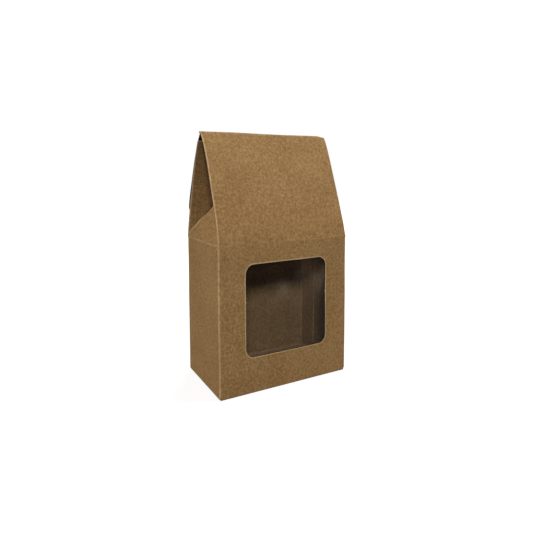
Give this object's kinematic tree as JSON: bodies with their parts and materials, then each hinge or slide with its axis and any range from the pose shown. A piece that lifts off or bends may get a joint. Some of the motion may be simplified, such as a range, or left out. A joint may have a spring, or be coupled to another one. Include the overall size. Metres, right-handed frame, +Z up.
{
  "type": "windowed coffee box",
  "caption": "Folded kraft card box with a clear film window, a sloped roof open at its gables and a closure flap that folds over the ridge.",
  "frame": {"origin": "middle of the base, on the surface that the box stands on", "axes": "+Z up, the window faces -Y, X runs across the front"},
  "size_m": [0.09, 0.0506, 0.1553],
  "materials": {
    "kraft_card": "uncoated brown kraft card with a fine fibre mottle, matt",
    "clear_film": "thin clear glossy film, slightly slack"
  },
  "bodies": {
    "carton": {"carton": "kraft_card", "window_film": "clear_film"},
    "closure_flap": {"closure_flap": "kraft_card"}
  },
  "joints": [
    {"name": "closure_fold", "type": "hinge", "parent": "carton", "child": "closure_flap", "pos_m": [0, 0.00201, 0.15473], "axis": [1, 0, 0], "range_deg": [0, 103]}
  ]
}
